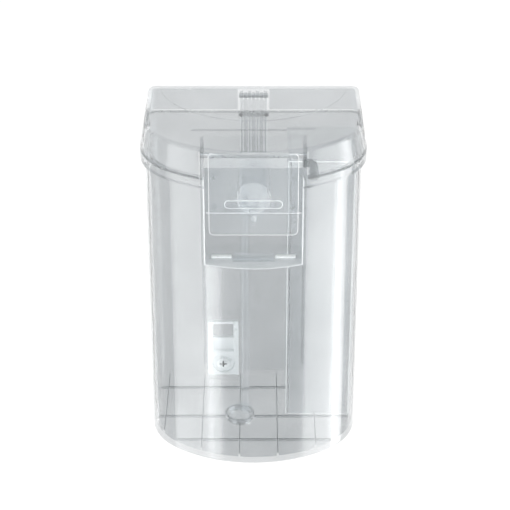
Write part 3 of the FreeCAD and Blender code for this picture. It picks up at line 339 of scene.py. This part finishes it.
# Columns: finish, eased edge size, and eased size of the front outline edges that take the
# whiter painted highlight finish (0 for none).
clear_parts = {
    "wall_plate": (clearest_plastic, 0.0004, 0.0),
    "side_chamber": (chamber_plastic, 0.0003, 0.0005),
    "chamber_cap": (chamber_plastic, 0.0003, 0.0),
    "hinge_bracket": (hinge_plastic, 0.00015, 0.00022),
    "pump_body": (clearest_plastic, 0.0003, 0.0),
    "pump_cap": (clearest_plastic, 0.0002, 0.0),
    "piston_seal": (clearest_plastic, 0.0001, 0.0),
    "pump_carrier": (clearest_plastic, 0.0002, 0.0005),
    "nozzle": (clearest_plastic, 0.0002, 0.0),
    "dip_tube": (clearest_plastic, 0.0001, 0.0),
    "strainer": (clearest_plastic, 0.0001, 0.0),
    "drip_tray": (frosted_plastic, 0.0002, 0.0),
    "fixing_frame": (milky_plastic, 0.0003, 0.0),
    "push_plate": (plate_plastic, 0.0002, 0.0),
    "plunger": (clearest_plastic, 0.0001, 0.0005),
    "ledge_pad_left": (milky_plastic, 0.0003, 0.0),
    "ledge_pad_right": (milky_plastic, 0.0003, 0.0),
}
# On the pump carrier only the lower front edge gets the painted highlight outline.
carrier_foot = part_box("pump_carrier")[0][2] + 0.0005
for name, (finish, ease, outline_ease) in clear_parts.items():
    top = carrier_foot if name == "pump_carrier" else 1.0
    piece = moulded(name, finish, ease, outline_ease, top)
    print(piece.name, len(piece.data.vertices), "vertices")

# %% [markdown]
# ## The push plate's painted highlight border
# A rounded edge on a clear plate catches the light all the way round, so the plate
# reads as a bright outline. The faces of the rounded edge get a second, whiter
# finish that paints this highlight on. They are found by their distance from the
# plate's outline, which is a rectangle with round corners.

# %% Plate border
plate = bpy.data.objects["push_plate_moulded"].data
low, high = (Vector(corner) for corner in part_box("push_plate"))
plate_middle, plate_half = (low + high) / 2, (high - low) / 2
corner_radius, border = 0.003, 0.0009
# The border faces get the whiter finish: a painted highlight.
plate.materials[1] = border_highlight_plastic
bordered = 0
for face in plate.polygons:
    over_x = abs(face.center.x - plate_middle.x) - plate_half.x + corner_radius
    over_z = abs(face.center.z - plate_middle.z) - plate_half.z + corner_radius
    inside = (min(max(over_x, over_z), 0.0)
              + math.hypot(max(over_x, 0.0), max(over_z, 0.0)) - corner_radius)
    if inside > -border and face.normal.y > -0.97:
        face.material_index = 1
        bordered += 1
print("push plate border", bordered, "faces of", len(plate.polygons))

# %% [markdown]
# ## Turned and swept small parts
# Screws, rivets, a spring and a bent tube are all either a profile turned about
# an axis or a ring swept along a line. One helper makes a skin through a list of
# rings, so both kinds come from the same few lines of mesh code.

# %% Skin through rings
def skin(name, rings, finish, closed_ends=True):
    """A smooth tube mesh through rings of points, all with the same count."""
    work = bmesh.new()
    rows = [[work.verts.new(point) for point in ring] for ring in rings]
    count = len(rows[0])
    for first, second in zip(rows, rows[1:]):
        for n in range(count):
            work.faces.new((first[n], first[(n + 1) % count], second[(n + 1) % count],
                            second[n]))
    if closed_ends:
        work.faces.new(list(reversed(rows[0])))
        work.faces.new(rows[-1])
    bmesh.ops.recalc_face_normals(work, faces=work.faces)
    mesh = bpy.data.meshes.new(name)
    work.to_mesh(mesh)
    work.free()
    for face in mesh.polygons:
        face.use_smooth = True
    mesh.set_sharp_from_angle(angle=math.radians(35.0))
    mesh.materials.append(finish)
    piece = bpy.data.objects.new(name, mesh)
    bpy.context.scene.collection.objects.link(piece)
    return piece


def ring(centre, across, upward, radius, count=32):
    return [centre + radius * (math.cos(t) * across + math.sin(t) * upward)
            for t in (2 * math.pi * n / count for n in range(count))]


right, out, up = Vector((1, 0, 0)), Vector((0, -1, 0)), Vector((0, 0, 1))
print("skin and ring helpers ready")

# %% [markdown]
# ## Pan head screws
# A screw head is a shallow dome over a short rim, with a cross shaped recess. The
# dome is turned as rings on a quarter circle. The cross is cut with a Boolean
# modifier that is applied at once, so the piece is left with a plain mesh. The cut
# faces take the cutter's darker finish, which is painted shade in the recess. Every
# measure comes from the box of the CAD screw that it stands for.

# %% Screws
def screw(node, finish, recess_shade_finish):
    low, high = (Vector(corner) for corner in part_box(node))
    middle = (low + high) / 2
    head = (high.x - low.x) / 2
    face, tip = low.y, high.y
    rim_y = face + 0.55 * head * (0.5 if head > 0.003 else 0.45)
    shank = head * 0.5
    steps = 8
    rings = []
    for n in range(steps + 1):
        angle = 0.5 * math.pi * n / steps
        depth = face + (rim_y - face) * (1 - math.sin(angle))
        rings.append(ring(Vector((middle.x, depth, middle.z)), right, up,
                          max(head * math.cos(angle), 0.00002)))
    rings.reverse()
    under = rim_y + 0.22 * head
    rings += [ring(Vector((middle.x, depth, middle.z)), right, up, radius)
              for depth, radius in ((rim_y + 0.02 * head, head), (under, 0.97 * head),
                                    (under, shank), (tip - 0.0004, shank),
                                    (tip, 0.6 * shank))]
    piece = skin(node + "_turned", rings, finish)
    wide, slim, deep = 0.55 * head, 0.11 * head, 0.35 * head
    corner = ((slim, slim), (slim, wide), (-slim, wide), (-slim, slim), (-wide, slim),
              (-wide, -slim), (-slim, -slim), (-slim, -wide), (slim, -wide),
              (slim, -slim), (wide, -slim), (wide, slim))
    cross = bmesh.new()
    rows = [[cross.verts.new((x, y, z)) for x, z in corner] for y in (-deep, deep)]
    for n in range(12):
        cross.faces.new((rows[0][n], rows[0][(n + 1) % 12], rows[1][(n + 1) % 12],
                         rows[1][n]))
    cross.faces.new(list(reversed(rows[0])))
    cross.faces.new(rows[1])
    bmesh.ops.recalc_face_normals(cross, faces=cross.faces)
    cross_mesh = bpy.data.meshes.new("cross")
    cross.to_mesh(cross_mesh)
    # The recess walls take this darker finish: painted shade.
    cross_mesh.materials.append(recess_shade_finish)
    cross.free()
    cutter = bpy.data.objects.new("cross", cross_mesh)
    cutter.location = (middle.x, face, middle.z)
    bpy.context.scene.collection.objects.link(cutter)
    carve = piece.modifiers.new("cross", "BOOLEAN")
    carve.operation, carve.object, carve.solver = "DIFFERENCE", cutter, "EXACT"
    carve.material_mode = "TRANSFER"
    bpy.context.view_layer.update()
    carved = bpy.data.meshes.new_from_object(
        piece.evaluated_get(bpy.context.evaluated_depsgraph_get()))
    piece.modifiers.remove(carve)
    piece.data = carved
    bpy.data.objects.remove(cutter)
    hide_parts(node)
    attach(piece, "dispenser")
    return piece


# Each screw's cross recess gets a darker finish than its head: painted shade.
print(screw("fixing_screw", milky_plastic, dark_plastic).name)
for number in (1, 2, 3, 4):
    print(screw(f"carrier_screw_{number}", chamber_plastic, smoke_plastic_and_shade).name)

# %% [markdown]
# ## Seals and rivets
# A gasket or washer is moulded without hard corners, and a rivet is closed to a
# dome. All are the CAD shape with a generous eased edge, so the helper for the
# clear parts does them too.

# %% Seals and rivets
for node, finish, ease in (("gasket", smoke_plastic_and_shade, 0.00035),
                           ("fixing_washer", milky_plastic, 0.0005),
                           ("hinge_rivet_left", dark_plastic, 0.0006),
                           ("hinge_rivet_right", dark_plastic, 0.0006)):
    print(moulded(node, finish, ease).name)

# %% [markdown]
# ## The vent elbow
# A short rubber tube comes out of the side of the recess and turns down. The CAD
# makes it from straight pieces; here the bend is one smooth quarter turn, with
# two raised bands and a rolled lip at the open mouth, swept as rings.

# %% Vent elbow
low, high = (Vector(corner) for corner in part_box("vent_elbow"))
lip_room = 0.00045
tube = (high.y - low.y) / 2 - lip_room
centre_y, level = (low.y + high.y) / 2, high.z - tube
turn_x, bend = high.x - lip_room - tube, 0.0026
path = [(Vector((low.x + t * (turn_x - bend - low.x), centre_y, level)), 0.0)
        for t in (0.0, 0.3, 0.34, 0.5, 0.54, 1.0)]
for n in range(1, 9):
    angle = 0.5 * math.pi * n / 8
    path.append((Vector((turn_x - bend + bend * math.sin(angle), centre_y,
                         level - bend * (1 - math.cos(angle)))), angle))
for t in (0.25, 0.3, 0.5, 0.55, 0.8, 0.86, 0.97, 1.0, 1.0, 0.6):
    path.append((Vector((turn_x, centre_y, level - bend - t * (level - bend - low.z))),
                 0.5 * math.pi))
swell = [1.0] * 6 + [1.0] * 8 + [1.0, 1.12, 1.12, 1.0, 1.0, 1.18, 1.2, 1.05, 0.62, 0.6]
swell[2], swell[3] = 1.12, 1.12
rings = [ring(point, Vector((math.sin(angle), 0, math.cos(angle))), out,
              tube * grow, 28) for (point, angle), grow in zip(path, swell)]
elbow = skin("vent_elbow_swept", rings, smoke_plastic_and_shade)
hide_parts("vent_elbow")
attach(elbow, "dispenser")
print("elbow rings", len(rings))

# %% [markdown]
# ## The pump's spring
# A compression spring has even coils in the middle and closed coils at both ends,
# where it sits flat. The wire is a small ring carried along that line. When the
# plate is pressed the plunger shortens it. The piece gets a mesh of its own.

# %% Spring
low, high = (Vector(corner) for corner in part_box("pump_spring"))
wire = 0.0005
coil = (high.x - low.x) / 2 - wire
centre = (low + high) / 2
start_y, length = low.y + wire, high.y - low.y - 2 * wire
turns, steps = 8.0, 8 * 36
closed_share = 0.09
rings = []
for n in range(steps + 1):
    share = n / steps
    straight = min(max((share - closed_share) / 0.82, 0.0), 1.0)
    ends = 0.5 * (1 - math.cos(math.pi * straight))
    along = start_y + length * (0.05 * share + 0.95 * (0.35 * ends + 0.65 * straight))
    angle = 2 * math.pi * (share * turns)
    spoke = math.cos(angle) * right + math.sin(angle) * up
    point = Vector((centre.x, along, centre.z)) + coil * spoke
    rings.append(ring(point, spoke, Vector((0, 1, 0)), wire * 0.98, 10))
spring = skin("pump_spring_wound", rings, spring_plastic)
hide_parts("pump_spring")
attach(spring, "dispenser")
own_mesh(spring)
print("spring", round(1000 * length, 1), "mm long,", turns, "turns")

# %% [markdown]
# ## Painted shade lines on the floor ribs
# The tank's floor is stiffened by a grid of low ribs. Each clear rib shows as a fine
# dark line, and that line is painted shade: a thin dark strip laid on the crest of
# its rib, with a dark ring round the sump. The outline of the tank in plan is two
# arcs, so the strips can be ended at the inner wall by arithmetic.

# %% Rib crests
tank_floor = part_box("tank")[0][2]
cup_low, cup_high = (Vector(corner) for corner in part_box("strainer"))
chamber_low = Vector(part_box("side_chamber")[0])
wall, floor_thick, rib_rise, rib_step = 0.0025, 0.003, 0.002, 0.0215
half_inside, back_inside, front_inside = 0.058 - wall, -0.003 - wall, 0.092 - wall
crest_z = tank_floor + floor_thick + rib_rise
grid_x = (cup_low.x + cup_high.x) / 2
grid_y = (cup_low.y + cup_high.y) / 2
sump, crest_wide, crest_tall = 0.0085, 0.00045, 0.00012


def front_edge(x):
    """Depth of the inner face of the tank's front at x."""
    front, side = 0.072 - wall, 0.036 - wall
    centre = front_inside - front
    meet_x = 0.022 * front / 0.036
    if abs(x) <= meet_x:
        return centre + math.sqrt(front ** 2 - x ** 2)
    turn_y = centre + math.sqrt((front - side) ** 2 - 0.022 ** 2)
    return turn_y + math.sqrt(max(side ** 2 - (abs(x) - 0.022) ** 2, 0.0))


def side_edge(depth):
    """Half the inner width of the tank at a depth."""
    return next((x for x in (half_inside - 0.0002 * n for n in range(300))
                 if front_edge(x) >= depth), 0.0)


crests = bmesh.new()


def crest(x0, y0, x1, y1):
    """A thin strip from one end to the other, along X or along Y."""
    made = bmesh.ops.create_cube(crests, size=1.0)
    wide, deep = max(abs(x1 - x0), crest_wide), max(abs(y1 - y0), crest_wide)
    spot = Vector(((x0 + x1) / 2, (y0 + y1) / 2, crest_z + 0.0001))
    bmesh.ops.transform(crests, verts=made["verts"], matrix=Matrix.Translation(spot)
                        @ Matrix.Diagonal((wide, deep, crest_tall, 1.0)))


for n in (-2, -1, 0, 1, 2):
    x = grid_x + n * rib_step
    start = chamber_low.y if x > chamber_low.x else back_inside
    end = -front_edge(x)
    if n == 0:
        crest(x, start, x, grid_y + sump)
        crest(x, grid_y - sump, x, end)
    else:
        crest(x, start, x, end)
for depth in (0.020, -grid_y, 0.0745):
    half = side_edge(depth)
    stop = chamber_low.x if depth < -chamber_low.y else half
    if abs(depth + grid_y) < 0.0001:
        crest(-half, -depth, grid_x - sump, -depth)
        crest(grid_x + sump, -depth, stop, -depth)
    else:
        crest(-half, -depth, stop, -depth)
ring_out, ring_in = [], []
for n in range(64):
    turn = 2 * math.pi * n / 64
    for radius, row in ((sump - 0.0002, ring_out), (sump - 0.0007, ring_in)):
        row.append(crests.verts.new((grid_x + radius * math.cos(turn),
                                     grid_y + radius * math.sin(turn),
                                     crest_z + 0.0021)))
for n in range(64):
    crests.faces.new((ring_in[n], ring_out[n], ring_out[(n + 1) % 64], ring_in[(n + 1) % 64]))
crest_mesh = bpy.data.meshes.new("rib_crests")
crests.to_mesh(crest_mesh)
crests.free()
# The strips take the dark finish: painted shade for the lines the clear ribs show.
crest_mesh.materials.append(crest_shade_plastic)
rib_crests = bpy.data.objects.new("rib_crests", crest_mesh)
bpy.context.scene.collection.objects.link(rib_crests)
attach(rib_crests, "dispenser")
print("rib crests", len(crest_mesh.polygons), "faces")

# %% [markdown]
# ## Painted highlights and light on the finger recess
# The recess opens through the curved front of the tank. Its two upright edges and
# the front of its floor are polished corners, and a polished corner shows as a
# light line. Each line is painted on as a narrow whiter strip that sits just inside
# the tank's front face. The floor behind the front line faces the light from
# above, so a paler, rougher sheet paints it as lit. Both lie a hair under the
# floor's face, so the drip tray can slide over them.

# %% Recess edges
pad_front, recess_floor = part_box("ledge_pad_left")[0][1:]
recess_half, recess_top = 0.0255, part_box("pump_carrier")[1][2]
strip_wide, strip_inset, strip_thick, strip_under = 0.0007, 0.0002, 0.0002, 0.00005
edges = bmesh.new()


def ledge_strip(near, far, material):
    """A thin curved sheet under the ledge; near and far give its depths at x."""
    rows = []
    for n in range(41):
        x = -recess_half + 2 * recess_half * n / 40
        rows.append([edges.verts.new((x, -depth, recess_floor - drop))
                     for depth, drop in ((far(x), strip_under + strip_thick),
                                         (far(x), strip_under), (near(x), strip_under),
                                         (near(x), strip_under + strip_thick))])
    made = [edges.faces.new(rows[0]), edges.faces.new(list(reversed(rows[-1])))]
    for first, second in zip(rows, rows[1:]):
        made += [edges.faces.new((first[n], first[(n + 1) % 4], second[(n + 1) % 4],
                                  second[n])) for n in range(4)]
    for face in made:
        face.material_index = material


def ledge_front(x):
    return front_edge(x) + wall - strip_inset


# The front strip is a painted highlight line; the sheet behind it paints the lit floor.
ledge_strip(lambda x: ledge_front(x) - strip_wide, ledge_front, 0)
ledge_strip(lambda x: -pad_front + strip_inset,
            lambda x: ledge_front(x) - strip_wide - strip_inset, 1)
for side in (-1, 1):
    x, front = side * (recess_half + 0.5 * strip_wide), ledge_front(recess_half)
    made = bmesh.ops.create_cube(edges, size=1.0)
    spot = Vector((x, strip_thick - front, (recess_floor + recess_top) / 2))
    bmesh.ops.transform(edges, verts=made["verts"], matrix=Matrix.Translation(spot)
                        @ Matrix.Diagonal((strip_wide, 2 * strip_thick,
                                           recess_top - recess_floor, 1.0)))
bmesh.ops.recalc_face_normals(edges, faces=edges.faces)
edge_mesh = bpy.data.meshes.new("recess_highlights")
# Slot 0 paints the highlight lines, slot 1 the lit floor.
edge_mesh.materials.append(border_highlight_plastic)
edge_mesh.materials.append(ledge_light_plastic)
edges.to_mesh(edge_mesh)
edges.free()
recess_highlights = bpy.data.objects.new("recess_highlights", edge_mesh)
bpy.context.scene.collection.objects.link(recess_highlights)
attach(recess_highlights, "dispenser")
print("recess edges", len(edge_mesh.polygons), "faces")

# %% [markdown]
# ## The studio
# Clear plastic is lit by what it mirrors. Two tall soft boxes stand low at the
# left and right, where the bowed front of the tank mirrors them, with a gap
# between them that leaves the middle of the tank darker. A pale floor far below
# and an even sky give the plain bright ground that shows through the walls.

# %% Floor, lamps and sky
bpy.ops.mesh.primitive_plane_add(size=40.0, location=(0.0, 0.0, cad_low[2] - 2.2))
floor = bpy.context.object
floor.name = "floor"
floor_finish, floor_graph, floor_shader = new_material("floor_finish")
floor_noise = object_noise(floor_graph, 3.0)
floor_colour = blend_colours(floor_graph, floor_noise, (0.95, 0.95, 0.95), (0.97, 0.97, 0.97))
floor_graph.links.new(floor_colour, floor_shader.inputs["Base Color"])
floor_shader.inputs["Roughness"].default_value = 0.9
floor_shader.inputs["Specular IOR Level"].default_value = 0.0
floor.data.materials.append(floor_finish)
floor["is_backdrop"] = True


def soft_box(name, azimuth, rise, reach, wide, high, watts):
    """A soft box: azimuth to the right of the front, rise above level, in degrees."""
    turn, lift = math.radians(azimuth), math.radians(rise)
    away = Vector((math.sin(turn) * math.cos(lift), -math.cos(turn) * math.cos(lift),
                   math.sin(lift)))
    lamp = bpy.data.lights.new(name, "AREA")
    lamp.shape, lamp.energy, lamp.size, lamp.size_y = "RECTANGLE", watts, wide, high
    holder = bpy.data.objects.new(name, lamp)
    bpy.context.scene.collection.objects.link(holder)
    holder.location = aim + reach * away
    holder.rotation_euler = away.to_track_quat("Z", "Y").to_euler()
    return holder


soft_box("box_left", -58.0, -28.0, 2.4, 1.47, 2.2, 24.0)
soft_box("box_left_edge", -36.5, -28.0, 2.5, 0.5, 2.2, 12.0)
soft_box("box_right_dim", 66.0, -28.0, 2.5, 1.38, 2.2, 30.0)
soft_box("box_right", 90.0, -28.0, 2.4, 0.85, 2.2, 30.0)
soft_box("box_top", 0.0, 72.0, 1.8, 1.2, 1.2, 9.0)
sky = bpy.data.worlds.new("sky")
sky.use_nodes = True
sky.node_tree.nodes["Background"].inputs["Color"].default_value = (1.0, 1.0, 1.0, 1.0)
sky.node_tree.nodes["Background"].inputs["Strength"].default_value = 1.08
bpy.context.scene.world = sky
bpy.context.scene.view_settings.view_transform = "Standard"
cycles = bpy.context.scene.cycles
cycles.max_bounces, cycles.transmission_bounces, cycles.transparent_max_bounces = 28, 28, 28
print("lamps and sky ready")

# %% [markdown]
# ## The dressed object's box
# The box of the dressed object is measured once more at the end, with the same
# helper as the box of the model.

# %% Finish
low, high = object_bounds()
